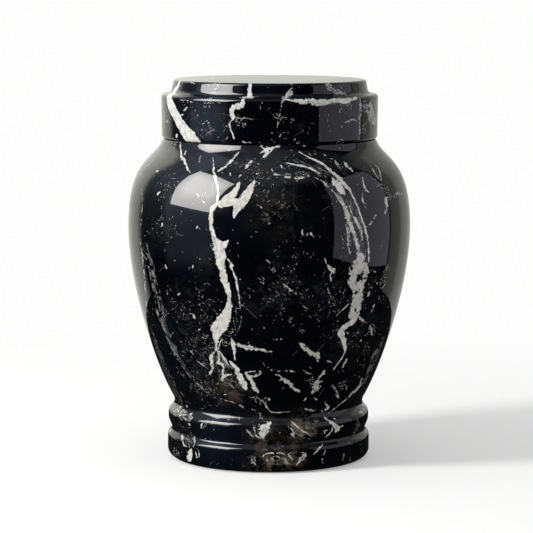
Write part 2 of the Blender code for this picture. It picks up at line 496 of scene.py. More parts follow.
BODY_VEINS = {
    "main vein": (1.0, (212.4, 157, 0.8), (213.6, 165.4, 1.4), (213.6, 171.5, 3.2), (216, 181.2, 3),
                  (217.8, 193.3, 2.4), (216.6, 204.2, 3.2), (213, 209, 5), (211.2, 215.1, 5), (211.2, 226, 4.4),
                  (213, 236, 4.6), (215, 241, 8), (217.6, 246, 10.6), (219, 252, 11.6), (220.6, 258, 10.5), (221.6, 266, 7.6), (223.9, 278.5, 7), (228, 290.6, 5.6),
                  (229.4, 300.3, 4.4), (229, 306, 6), (227.4, 311, 9), (225.6, 317, 12.5), (222, 323, 15.5),
                  (218, 328.6, 14.5), (216.4, 334, 9.5), (216.3, 340, 5), (216.4, 345, 3.4),
                  (215.8, 351, 2)),
    "spur of the main vein": (1.1, (214, 249, 4), (219, 247, 9), (223.6, 244.4, 8), (226.6, 241.8, 4), (228.4, 240, 1)),
    "crack beside the main vein": (0.9, (221.5, 340, 1.4), (219.8, 345, 1.6), (218.6, 350, 1.6)),
    "left foot of the main vein": (0.85, (215.4, 351, 1.6), (211.2, 357.2, 3.4), (212.4, 367, 3), (210, 374.2, 2.2)),
    "middle foot": (0.85, (217.5, 350, 2), (219, 357, 3.2), (218.4, 364, 2.6), (222.7, 363.3, 1.6),
                    (223.3, 371.8, 2.4), (222.7, 380.3, 3.4)),
    "fork of the middle foot": (0.9, (223.2, 377, 3.6), (226.5, 374.6, 2.6), (231.2, 374.2, 2)),
    "right foot": (0.9, (219.8, 351.5, 1.6), (223.3, 357.5, 2.4), (226.3, 362, 3), (228.1, 365, 1.4)),
    "long right foot": (1.0, (229.4, 360.9, 2), (236, 368.1, 4), (239.7, 376.6, 6), (243.6, 384, 7), (245.6, 389, 4)),
    "next foot": (0.95, (245.7, 373, 3), (250.6, 379, 4), (254.2, 387.5, 5), (258.4, 392.4, 2.4)),
    "loop at the feet": (0.75, (246, 374, 2), (252, 376.5, 2.4), (259, 374.8, 2.4), (260.6, 371.4, 2.2),
                         (253, 371.4, 1.8), (246.5, 372, 2)),
    "thread from the feet": (0.8, (254.2, 393.6, 1.2), (263.9, 403.3, 2), (272.4, 411.8, 1.4), (291.8, 411.8, 1.2)),
    "thread along the ankle": (0.55, (219, 398.4, 1), (231.2, 402, 1.6), (243.3, 407, 2), (255.4, 410.5, 1.4)),
    "right twig": (0.9, (227, 259, 1.4), (231.2, 264, 3.2), (232.4, 271, 2), (236, 279.7, 3.2), (237.8, 290.6, 2),
                   (239.7, 301.5, 1.4), (240.3, 308.8, 1)),
    "end of the right twig": (0.45, (240.3, 309, 1), (241.5, 319.7, 1.2), (238.4, 329.4, 0.9), (234.2, 335.4, 0.8)),
    "branch at the neck": (0.9, (238.4, 152, 1.4), (234.8, 157, 2.2), (226.3, 165.4, 3), (217.8, 170.9, 2)),
    "wing, left": (1.15, (217.4, 205.4, 3), (224.8, 200.4, 7.4), (231.4, 195.8, 8.4), (236.2, 189.6, 5.6),
                   (239.2, 182.8, 3.2)),
    "wing, right": (1.15, (234.6, 218, 2), (235.6, 210.4, 7.4), (240.8, 203.2, 10.4), (247.2, 194.2, 9),
                    (254.2, 181.4, 3.6)),
    "wing, middle": (1.15, (220, 206, 4), (228.4, 202.6, 7.4), (238.4, 200.8, 6)),
    "left shoulder vein": (0.95, (180.3, 141.8, 1.2), (180.9, 152, 2), (183.3, 159.4, 3.6), (187.5, 167.8, 2),
                           (191.8, 174.5, 1)),
    "left shoulder twig": (0.9, (182.7, 157, 1), (184.6, 154, 2), (186.3, 150.4, 1.4)),
    "small stroke": (0.7, (200.2, 156, 1.4), (199.2, 162, 1.8)),
    "bar": (0.85, (231.8, 342.7, 4), (243.3, 346.3, 4.6), (255.4, 349.4, 4), (266, 350.8, 2.6), (272.4, 351.4, 1.4)),
    "stub of the bar": (0.9, (231, 337.6, 1), (233, 343, 4), (234.2, 351.2, 2.8), (234.8, 360.9, 1.6)),
    "second bar": (0.88, (299.2, 343.4, 2), (301.5, 345, 4.4), (309.4, 351.8, 5.4), (316.6, 354.8, 6), (319, 362, 2.4)),
    "tail of the second bar": (0.7, (325, 358.4, 1.4), (328, 361, 2.2), (332.4, 362.7, 1.2)),
    "third bar": (0.8, (274.6, 373.6, 2), (279, 377.8, 4.6), (286.4, 380.9, 4.4), (292.4, 387.5, 4.4), (299.7, 392.4, 2)),
    "fourth bar": (0.5, (330, 383.9, 2), (336, 390, 3.4), (339.7, 399.6, 2.4)),
    "fifth bar": (0.8, (324.6, 403.4, 2), (326.8, 407.6, 3.6), (323.2, 410.8, 4.4)),
    "sixth bar": (0.7, (305, 408.7, 2), (310, 410.4, 3.6), (314.8, 413.2, 1.6)),
    "top thread of the bars": (0.6, (275.4, 371.4, 1.2), (286, 370.8, 2), (296, 372.4, 1)),
    "thread under the bars": (0.5, (302, 369.4, 1), (307, 372.6, 1.8), (311.8, 374.2, 1)),
    "wedge by the feet": (0.6, (262, 362, 1), (266, 366, 2.6), (272, 369.8, 2.4)),
    "outer arc": (0.95, (298.5, 152, 1.4), (310.6, 158, 2), (322.7, 163.6, 2.4), (330, 170.3, 3), (338.5, 177.5, 4),
                  (345.7, 186, 4.6), (350.6, 192, 2.4), (355.4, 201.8, 2.2), (359, 210.3, 2), (362.7, 221.2, 2.2),
                  (366.3, 232, 2.6), (368.8, 246.6, 2), (369.2, 262, 2)),
    "feather on the arc": (1.0, (331.6, 177.8, 1.6), (335, 182, 6), (339.5, 187.4, 8), (344.5, 194.3, 3)),
    "second arc": (0.9, (285.7, 163, 1.2), (298.5, 165.4, 2), (310.6, 168.5, 2.6), (320.3, 173.5, 1.2)),
    "link of the arcs": (0.65, (310.6, 167.8, 1.2), (317.9, 164.2, 1.2), (327.5, 159.4, 1), (333.6, 158.8, 0.8)),
    "third arc": (0.75, (263, 171.2, 1.2), (275.4, 174.5, 1.8), (286.4, 177, 2.4), (298.5, 178.4, 2), (309.4, 176.3, 1.6)),
    "inner arc": (0.7, (313, 177, 1), (321.5, 181.2, 1.8), (328.8, 187.2, 2), (337.2, 195.7, 2.2), (343.3, 203, 2.6)),
    "strand": (0.85, (333.6, 190.9, 1), (338.5, 199.3, 2.6), (344.5, 206.6, 4), (347, 215, 5), (350.6, 224.8, 5),
               (354.2, 234.5, 4), (357.8, 246, 4), (360, 258, 6)),
    "outer strand": (0.75, (349, 205, 1), (352, 212.4, 2), (356.6, 221.2, 3), (361.5, 230.9, 4), (362.5, 240, 2)),
    "inner strand": (0.6, (344.5, 215, 1), (347.4, 230, 3.4), (349, 243, 4), (350.6, 255, 3)),
    "right band": (0.82, (362, 256, 6), (360.4, 262, 14), (359.8, 268, 19), (358.8, 275, 19), (358, 283, 17),
                   (358.4, 291, 11), (357.6, 300.3, 11.4), (356, 308.8, 11.4), (353, 317.2, 9.4), (350.6, 323.3, 6)),
    "tail of the right band": (1.05, (352.6, 321, 4), (349, 324.4, 4.4), (344.6, 327, 5), (341.2, 331.6, 6.6),
                               (342, 336.6, 7), (344, 342, 4.6), (345, 351, 2.2), (340, 361, 1.4), (333.6, 369.4, 1.2)),
    "hook of the right band": (0.7, (346.4, 358, 1), (345.4, 363, 2.4), (342.6, 367.6, 1.6)),
    "left island of the band": (0.85, (325, 258, 1), (326.3, 264, 1.6), (329.5, 267, 4), (333.8, 271, 5), (331.8, 275.4, 4),
                                (330.4, 281, 1.8)),
    "lower island of the band": (0.7, (330, 284, 1.6), (328.8, 291.5, 2.8), (331, 297.8, 1.2)),
    "twig of the band": (0.85, (336, 315, 0.8), (343.3, 309, 1.6), (350.6, 302.9, 1.2)),
    "barb of the band": (0.8, (359.4, 317.6, 2.6), (363, 320.4, 3.2), (366.8, 323.2, 1)),
    "stroke below the barb": (0.75, (369.2, 325, 1), (371.2, 330, 2.2), (372.6, 336, 1)),
    "feathered patch": (0.72, (325.4, 369.4, 3), (321.5, 377.8, 6.6), (317.9, 385, 7.4), (312.6, 392.8, 3)),
    "low arc": (0.75, (361.7, 378.4, 1.4), (359.4, 386, 3), (353, 392.4, 2.6), (345.7, 399.6, 1.5), (334.8, 408.1, 1),
                (327.5, 413, 0.8)),
    "bar on the shoulder": (0.8, (344.3, 162.4, 2), (348.6, 167, 3.6), (353.2, 172, 1.6)),
    "grainy bar on the shoulder": (0.5, (334.6, 160, 1.4), (338, 165, 3.2), (341.4, 169.6, 1.6)),
    "cluster, outer": (0.6, (372.4, 162.6, 1), (379.7, 170.3, 1.6), (381.2, 181.6, 1.2)),
    "cluster, inner": (0.6, (369.6, 163.6, 1), (373.6, 171, 2), (378.6, 178.8, 1)),
    "right stroke, top": (0.8, (362.4, 176.6, 1.2), (365, 188.4, 2.8), (369.6, 192.6, 1.2)),
    "right stroke, middle": (0.8, (362.5, 191.4, 1), (362.9, 200.6, 2.8), (366.5, 209.4, 1)),
    "right stroke, outer": (0.8, (391, 196.4, 1), (385.4, 198.8, 2.6), (387, 205.4, 3), (385, 213.2, 1.6)),
    "right stroke, low": (0.75, (376.4, 214.4, 1), (371.2, 222.4, 2), (366.8, 226.4, 2.8)),
    "edge streak": (0.4, (403, 192.6, 3), (398, 194, 4), (392.6, 197, 2)),
    "hook in the panel": (0.5, (339.7, 226.4, 0.8), (340.6, 235.7, 1.2), (345.9, 243.4, 0.8)),
    "arrow, upper": (0.9, (261, 144.4, 1.4), (262.6, 147.6, 2.6)),
    "arrow": (0.95, (260, 153.6, 1), (265.8, 150.3, 4.6), (271.8, 149, 3.6), (279, 145.6, 2)),
    "arrow, lower": (0.9, (263.4, 158, 1), (267, 153.6, 3.4), (271, 150, 2)),
    "long grey thread": (0.3, (140, 247, 1), (150, 261, 1.4), (158.5, 303, 1.4), (162, 320, 1.6), (168, 339, 2),
                         (175, 355, 1.8), (187.5, 373, 1.4), (202, 388.4, 1.4), (216.6, 398, 1.4)),
    "left edge streak": (0.4, (144, 196, 0.6), (141.6, 214, 1), (140.4, 240, 1.2), (143, 262, 1.6), (144.6, 282, 2),
                         (146.4, 305, 1.6), (148.6, 322, 0.8)),
    "second edge streak": (0.3, (139.6, 250, 0.8), (147, 262, 1.6), (152, 284, 1.4), (157.4, 312, 2.4), (160, 322, 1)),
    "pale edge stroke": (0.5, (142, 189, 1), (142.2, 201.4, 1.4)),
    "right low streak": (0.35, (384, 341, 1), (377, 350.5, 2.6), (370.4, 358, 1.4)),
    "right low thread": (0.35, (381.6, 350, 0.8), (376, 360, 1.4), (371.8, 369.6, 0.8)),
    "ring patch": (0.9, (270, 422.4, 3), (265, 427.6, 9), (262.8, 433.4, 8), (263.6, 438.5, 2)),
    "ring arc, inner": (0.7, (254.2, 428.2, 1.4), (256.4, 435.7, 1.8), (265.4, 441, 1.2)),
    "ring arc, outer": (0.45, (246.8, 429.4, 1.6), (250.6, 434.3, 2), (255.5, 439.2, 1.2)),
    "ring patch, right": (0.8, (286.6, 427.6, 2.4), (290, 430.2, 5.4), (293, 434, 3.4), (294.5, 437.4, 1.2)),
    "ring thread": (1.0, (290.6, 420.6, 1), (295.9, 425.2, 2), (300.8, 429.7, 2), (308.5, 434.3, 1.4), (311.3, 436.4, 1)),
    "ring haze": (0.14, (290, 424, 8), (300, 431, 16), (312, 434, 14)),
    "ring hook": (0.9, (324.2, 417.6, 1.8), (329.6, 421, 3), (335.2, 425.2, 4.4), (337.8, 428.8, 4.4), (335.4, 432, 2)),
    "ring hook, line": (0.9, (333.2, 426, 1), (331.7, 430.8, 1.6), (326, 437.2, 1.4)),
    "ring grey": (0.35, (314.6, 419.8, 3), (318.6, 422.4, 4)),
    "ring shards": (0.3, (172.6, 407, 4), (178, 411, 10), (186, 416, 9), (193, 421, 4)),
    "base thread": (1.0, (322.5, 443.4, 1), (320.4, 447, 2.4), (317, 451, 2.6), (313.4, 454.3, 1.4)),
    "base thread, right": (0.5, (325.4, 450.4, 1.4), (322.5, 456.8, 2), (321.5, 461.3, 1.2)),
    "base stain": (0.3, (342.9, 451, 1.4), (343.6, 455.4, 2.4), (342.2, 461, 1.4)),
    "base stain, right": (0.25, (350.3, 448.3, 1), (349.9, 461, 1.6)),
    "base edge scratch": (0.5, (348.5, 442.7, 1), (352, 446.2, 1)),
    "base patch": (0.9, (191.6, 449.6, 2.4), (190, 455, 5.6), (188.4, 459.8, 4)),
    "base oval, left": (0.85, (182, 435.4, 1.6), (182.4, 441, 1.6), (184.4, 445.4, 1.4), (190, 447.4, 1)),
    "base oval, right": (0.85, (194.4, 437, 1.4), (194.6, 442, 1.8), (193.6, 447, 1.4)),
    "base oval, inside": (0.12, (187, 437.6, 6), (188.6, 441, 11), (189.4, 446, 6)),
    "base ring, left": (0.4, (252.4, 455, 2.4), (252.8, 460, 5.4), (255, 465, 2)),
    "base ring, top": (0.85, (262, 456.4, 1.2), (266, 453.4, 1.8), (274, 453, 1.4), (281, 453, 1.6), (285, 455, 1.4)),
    "base ring, side": (0.7, (266.2, 455.6, 1), (266.2, 460, 1.4), (267.6, 463.8, 2)),
    "base ring, inner": (0.4, (270, 457.4, 1), (277, 456.4, 1.4), (281, 459, 1.2), (277, 460.6, 1), (271, 460.2, 1)),
    "base ring, under": (0.4, (270.6, 463.2, 1.2), (277, 464.8, 1.6), (283, 462.6, 1.2)),
    "base cream": (0.45, (282, 458.6, 3), (286, 461.4, 6.4), (289, 465, 3)),
    "base vee": (0.85, (288.2, 454, 1.4), (290.6, 457, 2), (293.4, 460.2, 1.4)),
    "base vee, top": (0.7, (288, 453.6, 1), (295, 451.8, 1.4), (304, 453.2, 1)),
    "base wedge": (0.8, (305, 453.8, 3), (302, 457.4, 6), (299, 461.6, 2.6), (296.6, 464.8, 1.6)),
    "base wedge, under": (0.5, (291.7, 464.6, 1), (298.7, 466, 1)),
    "arc haze": (0.08, (294, 160, 4), (318, 170, 8), (336, 184, 12), (350, 208, 14), (358, 236, 15), (362, 256, 10)),
    "feet haze": (0.14, (216, 348, 8), (218, 360, 16), (228, 374, 20), (242, 388, 10)),
    # Painted reflection: faint pale washes along the left and right outline stand in for the backdrop's reflection at
    # the edges.
    "painted reflection, left edge": (0.1, (145.6, 244, 3), (151, 262, 5), (154.6, 282, 6), (159.6, 306, 7.6), (163, 322, 6),
                       (169.6, 340, 6), (178, 356, 4), (190, 374, 3), (204, 390, 2)),
    "painted reflection, lower left edge": (0.05, (151, 326, 3), (157, 348, 7), (165, 369, 9), (173, 388, 9), (180, 401, 6)),
    "painted reflection, right edge": (0.16, (384, 338, 3), (378, 350, 7), (371, 366, 7), (364, 384, 4)),
}

# Small strokes of the body in the photograph: x and y of both ends, and width
BODY_STROKES = [
    (196, 192, 199.6, 198, 1.4), (201, 199, 205.4, 204, 2), (205.4, 190, 206.4, 197, 1.2), (193, 203, 196, 205, 1.4),
    (282, 282.7, 297.3, 295.4, 2.2), (265, 258.5, 271.8, 265, 1.6), (301.5, 305, 309.4, 309.6, 1.8),
    (245, 168.4, 248.6, 164, 3.2), (249, 163, 253, 160.6, 2), (230.4, 172, 230.8, 176, 2.2), (238.6, 178, 241, 174.6, 2.2),
    (258.6, 184.6, 261, 181.4, 2.2), (259, 206, 263, 208.4, 2), (302, 229.4, 303.4, 236, 2), (310.4, 232.6, 314.4, 237, 4),
    (156, 171.6, 159, 170.4, 1.8), (157, 194.6, 160.6, 191.4, 2.2), (162, 222.6, 162.4, 227, 2), (196, 229, 198, 226, 2.4),
    (161.6, 265.4, 162.6, 267.4, 1.8), (165, 265, 166.8, 268.4, 2), (192.6, 268, 193.4, 264.6, 2.2),
    (177.4, 294.6, 180.6, 292.6, 2.4), (167, 294.6, 168.2, 293.6, 1.8), (200.6, 297.4, 203, 295.8, 1.8),
    (240.6, 305.4, 243.6, 306, 1.8), (261.6, 302, 262.6, 302.4, 1.8), (188.4, 314, 192.6, 313, 1.2),
    (193, 314, 196, 319.6, 1.6), (198.4, 330, 200.4, 328.4, 2), (224, 395, 227.6, 394, 2.2), (190, 350, 194, 355, 1.2),
    (196, 360, 206, 367, 0.8), (309, 366, 311, 369, 1.6), (371, 312, 375, 304, 2), (378, 300, 380, 296, 1.6),
    (367, 297, 370, 291, 2.6), (376.6, 284, 378, 282.6, 2), (373, 271, 376, 272, 2), (356.6, 333, 358.6, 332, 2),
    (360, 341, 361.6, 340, 2), (346, 332, 349, 334, 2.4), (267.6, 397, 270, 400.6, 2), (306, 397.6, 303.6, 400.6, 1.8),
    (314, 398, 317, 400, 2.6), (273.4, 339.4, 275, 339, 1.8), (276.4, 339.8, 278, 339.2, 1.8), (280.4, 339.4, 282, 338.6, 1.8),
    (257, 332.6, 258.4, 334, 1.8), (264, 343, 265, 344.4, 1.6), (263, 326.4, 264, 329, 1.8), (317, 319, 320, 322, 1.4),
    (227.6, 151.6, 231, 148.6, 1), (290, 149.6, 293, 150.8, 2), (303, 145.4, 305.6, 146.4, 1.6), (308.6, 153.6, 311, 156, 1.8),
    (279.6, 164, 282.6, 169, 2), (271.4, 168, 273, 172, 1.8), (255.6, 174, 259, 173, 1.8), (323.4, 154, 326, 156.4, 1.6),
    (202.6, 423, 200.6, 428.6, 2), (239.4, 416.6, 238.6, 421, 2), (213.4, 430, 214.4, 430.2, 1.6),
    (209.2, 429.2, 210.2, 429.6, 1.4), (323, 431.6, 329, 429.4, 1.6), (323.6, 431, 325, 434.4, 1.4),
    (321.4, 433.6, 322.4, 434.4, 1.8), (333, 418, 336.4, 419.6, 1.8), (340, 427, 344, 425.4, 1.4),
    (359.4, 412.6, 363.4, 411.4, 1.6), (360.6, 409.6, 362.4, 415, 1.6), (363.4, 408.4, 364, 411, 1.4),
    (177, 409, 178.6, 411.6, 1.6), (179.4, 406.4, 181, 409, 1.4), (181.6, 410, 180.4, 414, 1.6),
    (184, 410.4, 185.6, 413, 1.6), (178, 414, 182, 416, 1.6), (183, 416.4, 186, 414.4, 1.4),
    (186.6, 418.6, 184.6, 421, 1.4), (189.6, 415, 192.4, 413, 1.4), (190, 420.4, 193, 417, 1.4),
    (188.6, 423, 190.4, 425.6, 1.6), (181, 418, 184, 417, 1.4), (186, 405, 187.4, 407, 1.4),
    (175.4, 412, 176.4, 414.4, 1.4), (195.6, 451, 197, 456.6, 1.8), (198.6, 450, 199.4, 457, 1.6),
    (196, 457.8, 198.4, 456.4, 1.4), (188, 441.4, 189.6, 439.6, 1.2), (266, 422.6, 268.4, 421.4, 2),
    (269.2, 419.4, 270, 420, 1.6),
]

# Veins of the lid in the photograph: strength, then (x, y, width) points

LID_VEINS = {
    "band": (1.3, (167.9, 97.6, 4.8), (172.2, 108.4, 6.4), (177.6, 119.4, 7.6), (184.4, 130, 9.6), (189.6, 137.6, 12),
             (191.4, 141.2, 14)),
    "toe of the band": (1.25, (187.5, 136.4, 7), (193.6, 138.9, 6), (199.8, 141.2, 2.4)),
    "band over the ledge": (1.2, (168, 97.8, 4.6), (172, 93.4, 3.4), (176, 89.4, 3), (178.6, 85, 2.4), (179.6, 81.6, 2.2)),
    "crown piece": (0.95, (250, 83.4, 3.2), (250, 88, 4.2), (249.4, 96.4, 4.6)),
    "ledge piece": (0.9, (239.6, 97.8, 1.4), (246, 97.4, 2.2), (251.4, 97.2, 1.6), (259, 96, 0.8)),
    "broken vein": (0.95, (243.6, 99, 4), (242, 104.4, 5.4), (236.6, 106.4, 6), (232.4, 109, 6.6), (232.2, 114.5, 5.4),
                    (233.6, 117.6, 2.6), (230, 124.2, 2.8), (231.2, 131.5, 1.8), (234.8, 140, 1.4)),
    "foot of the broken vein": (0.8, (234.8, 139.6, 1.4), (242, 142.2, 1.6), (251.8, 143, 1)),
    "side branch": (0.6, (234.8, 117.6, 1.4), (244.5, 118.2, 1.8), (253, 119.2, 1.6), (258.4, 120, 1)),
    "left branch": (0.3, (218, 113, 0.8), (226, 114.6, 1), (231, 115.6, 1)),
    "thin vein": (0.62, (290.5, 83.6, 3.4), (289.3, 93, 5), (283.3, 100, 2.6), (280.2, 110.9, 1.2), (276.6, 129, 0.7)),
    "low twig": (0.7, (278.4, 140.8, 1), (281.6, 133.6, 1)),
    "low twig, across": (0.4, (281.6, 133.6, 1), (289.3, 132.7, 0.9), (298.5, 135, 0.7)),
    "cream band": (0.9, (284.6, 99.4, 1.4), (298.5, 100.8, 4), (310, 102, 6), (320, 102.4, 7), (334.8, 100.8, 5.4),
                   (347, 101, 6), (356.6, 98, 3)),
    "right vein": (0.5, (359.7, 100, 3), (360.3, 110.9, 3), (359, 120.6, 2.6), (359.7, 132.7, 2), (358.6, 139.4, 1.2)),
    "right patch": (0.5, (363.3, 102.4, 3), (368.8, 108.5, 8), (371.2, 115.7, 7), (376, 123, 3)),
    "crown patch": (0.45, (325.6, 84.6, 3), (332.4, 89, 7), (338.5, 92, 5), (345.7, 96.4, 2)),
    "crown thread": (0.4, (340, 84, 0.8), (343, 90, 1.2), (347, 95, 1)),
    "right thread": (0.55, (343.3, 123, 1), (348, 121, 1.4), (353, 119.4, 2), (357.8, 122.4, 1)),
    "diagonal thread": (0.4, (202, 137.5, 0.8), (214.2, 129, 1)),
    "low stroke": (0.5, (223.6, 141.4, 1), (227.5, 136.3, 1.4)),
    "ledge thread": (0.6, (181, 100, 1), (187.5, 101, 1.4), (193.6, 102.4, 1)),
    "upper tick": (0.55, (183.4, 112, 1), (186.4, 108.4, 2), (189.6, 107, 1)),
    "upper tick, low": (0.5, (180.4, 115, 1.2), (184, 115, 1.6)),
    "left tick": (0.45, (163.6, 118, 1.2), (166.6, 120, 2), (168.6, 122.6, 1)),
}

LID_STROKES = [
    (206.6, 120, 207.6, 121.6, 2.2), (201, 130, 202.4, 130.6, 1.8), (176, 137, 177.6, 134, 2.6), (175.4, 140.6, 176.4, 139.6, 2),
    (197, 142, 199.6, 140.4, 1.4), (339.6, 108, 339.6, 114, 1.2), (342, 124, 342, 129, 1.2), (293, 140.4, 296, 138, 2),
    (271, 131.6, 274, 133.4, 1.6), (302, 130, 304, 131, 1.4), (341, 139.4, 342.6, 140, 1.6), (290, 118.6, 293, 120.4, 1.2),
    (213, 88, 216, 90, 1), (190.6, 82.4, 195, 84.4, 1.2),
]


def add_photo_veins(surface, veins, strokes):
    for strength, *points in veins.values():
        photo_vein(surface, strength, *points)
    for x, y, end_x, end_y, width in strokes:
        middle = ((x + end_x) / 2, (y + end_y) / 2, width)
        photo_vein(surface, 0.9, (x, y, width / 2), middle, (end_x, end_y, width / 3))



# Veins where the photograph doesn't reach

# Over the lid's top: strength, then (x, y, width) points in millimetres
TOP_VEINS = [
    (0.7, (-14.5, -52, 1), (-20, -38, 2), (-14, -12, 2.4), (-30, 20, 3), (-26, 40, 2), (-31, 57, 1.6)),
    (0.7, (15, -50, 1), (24, -36, 1.6), (20, -8, 2), (40, 22, 3), (44, 44, 1.8)),
    (0.8, (-50, -20, 1.4), (-40, -6, 3.4), (-34, 22, 2.6), (-8, 40, 2.2), (4, 62, 1.4)),
    (0.5, (20, -8, 1), (4, 6, 1.6), (-4, 22, 1.2), (-20, 32, 0.8)),
]


def add_top_veins(surface, veins):
    top = surface.places[:, 2].max()
    for strength, *points in veins:
        route = [((x, y, top), (0.0, 0.0, 1.0), width / 2) for x, y, width in through(points, ROUTE_STEP_MM)]
        surface.add_vein(route, strength)


def wander(surface, chance, azimuth, height, heading, length, width):
    """A vein that wanders from a point: heading is in degrees, 0 along the azimuth and 90 up."""
    route = []
    bend = chance.uniform(-0.25, 0.25)
    lean = 0.0
    for step in range(int(length / ROUTE_STEP_MM)):
        if not (UNSEEN[0] < azimuth < UNSEEN[1] and surface.low < height < surface.high):
            break
        place, normal = surface.around(azimuth, height)
        part = step * ROUTE_STEP_MM / length
        swell = 0.55 + 0.45 * math.sin(step * 0.13 + width) + chance.uniform(-0.1, 0.1)
        route.append((place, normal, width / 2 * swell * math.sin(math.pi * min(1.0, 0.06 + part)) ** 0.6))
        lean = 0.93 * lean + chance.gauss(0.0, 7.0)
        run = math.radians(heading + bend * step + lean)
        azimuth += math.degrees(ROUTE_STEP_MM * math.cos(run) / math.hypot(place.x, place.y))
        height += ROUTE_STEP_MM * math.sin(run)
    return route


def add_wandering(surface, chance, count, length, width, strength):
    """Wandering veins over the sides and the back, some with a branch."""
    for _ in range(count):
        start = (chance.uniform(*UNSEEN), chance.uniform(surface.low, surface.high))
        heading = chance.choice((-110, -75, -60, 65, 100, 125, 20, 160)) + chance.uniform(-18, 18)
        size = chance.uniform(*length)
        thick = chance.uniform(*width)
        route = wander(surface, chance, *start, heading, size, thick)
        if len(route) < SHORTEST:
            continue
        surface.add_vein(route, chance.uniform(*strength))
        if len(route) > 4 * SHORTEST:
            place = route[len(route) // 2][0]
            azimuth = math.degrees(math.atan2(place.x, -place.y)) % 360
            fork = wander(surface, chance, azimuth, place.z, heading + chance.choice((-40, 40)),
                          size / 2, thick / 2)
            if len(fork) >= SHORTEST:
                surface.add_vein(fork, chance.uniform(*strength))


def add_clouds(surface, chance, clouds, count):
    """The photograph's clouds, as (x, y, radius, channel, strength) in its pixels, and others round the back."""
    for x, y, radius, channel, strength in clouds:
        place, _ = surface.seen(x, y)
        surface.add_cloud(place, radius * MM_PER_PX, channel, strength)
    for _ in range(count):
        place, _ = surface.around(chance.uniform(*UNSEEN), chance.uniform(surface.low, surface.high))
        surface.add_cloud(place, chance.uniform(8, 24), chance.choice((0, 0, 1, 2, 3)), chance.uniform(0.4, 0.9))


# Marble

def vein_layer(tree, index, wiggle, ragged, holes):
    """How much of one stored layer of veins shows: 1 inside a vein, 0 outside and in its cracks.

    A stronger vein has fewer cracks and holes, and over strength 1 its edges are smoother too.
    """
    stored = tree.node("ShaderNodeAttribute", attribute_name=f"veins_{index}")
    along = tree.node("ShaderNodeAttribute", attribute_name=f"along_{index}").outputs["Fac"]
    parts = tree.node("ShaderNodeSeparateColor", {"Color": stored.outputs["Color"]}).outputs
    strength = stored.outputs["Alpha"]
    across = tree.math("ADD", parts["Red"], wiggle)
    inside = tree.math("SUBTRACT", parts["Blue"], tree.math("ABSOLUTE", across))
    depth = tree.math("MULTIPLY", tree.spread(parts["Blue"], 0.0, 2.5, 0.25, 1.6),
                      tree.spread(strength, 0.85, 1.2, 1.0, 0.12))
    inside = tree.math("ADD", inside, tree.math("MULTIPLY", ragged, depth))
    shown = tree.rise(inside, -EDGE_SOFT, EDGE_SOFT)
    near = tree.rise(tree.math("SUBTRACT", parts["Green"], parts["Blue"]), KEEP_APART - 0.5, KEEP_APART - 1.5)
    grain = tree.node("ShaderNodeCombineXYZ", {"X": tree.math("MULTIPLY", across, 1 / GRAIN_ACROSS),
                                               "Y": tree.math("MULTIPLY", along, 1 / GRAIN_ALONG)})
    streaks = tree.node("ShaderNodeTexNoise", {"Vector": grain.outputs[0], "Scale": 1.0, "Detail": 3.0,
                                               "Roughness": 0.6}).outputs["Fac"]
    crack = tree.spread(strength, 0.2, 0.9, 0.51, 0.34)
    whole = tree.rise(tree.math("SUBTRACT", streaks, crack), -0.03, 0.05)
    worn = tree.math("SUBTRACT", tree.spread(strength, 0.75, 1.05, 0.54, 0.78), holes)
    whole = tree.math("MULTIPLY", whole, tree.rise(worn, -0.03, 0.01))
    level = tree.math("MULTIPLY", whole, tree.spread(strength, 0.0, 1.0, 0.12, 1.0))
    return tree.math("MULTIPLY", tree.math("MULTIPLY", shown, near), level)


def stored_veins(tree, place, layers):
    """All stored layers together, with ragged edges."""
    wide = tree.math("SUBTRACT", tree.noise(place, 9.0, 2.0), 0.5)
    fine = tree.math("SUBTRACT", tree.noise(place, 2.2, 2.0), 0.5)
    wiggle = tree.math("ADD", tree.math("MULTIPLY", wide, 1.6), tree.math("MULTIPLY", fine, 1.3))
    grit = tree.math("SUBTRACT", tree.noise(place, 3.0, 4.0, 0.7), 0.53)
    ragged = tree.math("MULTIPLY", grit, 5.5)
    holes = tree.noise(place, 4.4, 2.0, 0.6)
    total = vein_layer(tree, 0, wiggle, ragged, holes)
    for index in range(1, layers):
        total = tree.math("MAXIMUM", total, vein_layer(tree, index, wiggle, ragged, holes))
    return total


def flecks(tree, place, turn, stretch, size_mm, density):
    """Small irregular specks, drawn out along a direction turned about Y; density 0 to 1 brings more."""
    turned = tree.node("ShaderNodeVectorRotate", {"Vector": place, "Angle": math.radians(turn)},
                       rotation_type="Y_AXIS").outputs["Vector"]
    drawn = tree.vector("MULTIPLY", turned, (1 / stretch, 1.0, 1.0))
    lumps = tree.noise(drawn, size_mm, 2.0, 0.6)
    bar = tree.spread(density, 0.0, 1.0, 0.79, 0.676)
    return tree.rise(tree.math("SUBTRACT", lumps, bar), 0.0, 0.03)


